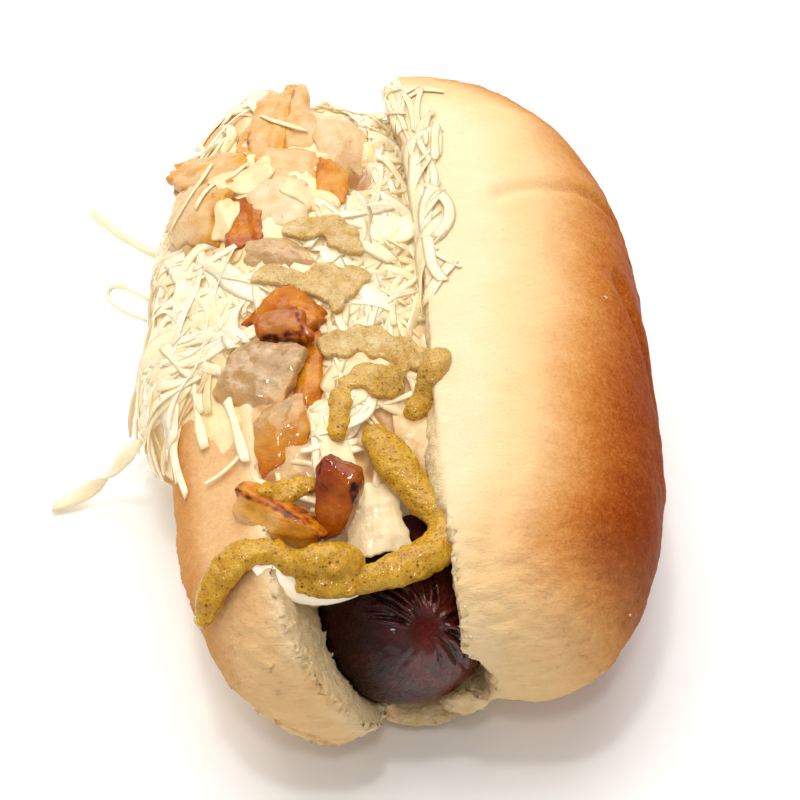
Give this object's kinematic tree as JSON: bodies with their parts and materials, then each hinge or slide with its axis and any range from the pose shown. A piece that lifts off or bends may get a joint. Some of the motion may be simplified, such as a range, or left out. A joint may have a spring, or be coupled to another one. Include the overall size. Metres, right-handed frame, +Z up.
{
  "type": "hot dog",
  "caption": "Side-cut soft roll standing open round a dark grilled sausage, heaped with shredded sauerkraut, browned onion and beads of coarse mustard.",
  "frame": {"origin": "on the roll's flat underside, below the middle of the sausage", "axes": "+X to the right of the roll, towards its domed half; +Y along the roll to its far end; +Z up"},
  "size_m": [0.1182, 0.1563, 0.0548],
  "materials": {
    "bun": "soft baked crust, cream at the cut lip and brown on the dome",
    "sausage": "dark grilled skin, wrinkled and glossy",
    "sauerkraut": "moist, translucent pale shreds",
    "onion": "glossy amber, browned at the edges",
    "mustard": "coarse ochre mustard with brown specks"
  },
  "bodies": {
    "root": {"bun": "bun", "sausage": "sausage", "sauerkraut": "sauerkraut", "onion_01": "onion", "onion_02": "onion", "onion_03": "onion", "onion_04": "onion", "onion_05": "onion", "onion_06": "onion", "onion_07": "onion", "onion_08": "onion", "onion_09": "onion", "onion_10": "onion", "onion_11": "onion", "onion_12": "onion", "onion_13": "onion", "onion_14": "onion", "onion_15": "onion", "onion_16": "onion", "onion_17": "onion", "mustard_front": "mustard", "mustard_side": "mustard", "mustard_short": "mustard", "mustard_lip": "mustard", "mustard_band": "mustard", "mustard_middle": "mustard", "mustard_back": "mustard"}
  },
  "joints": []
}
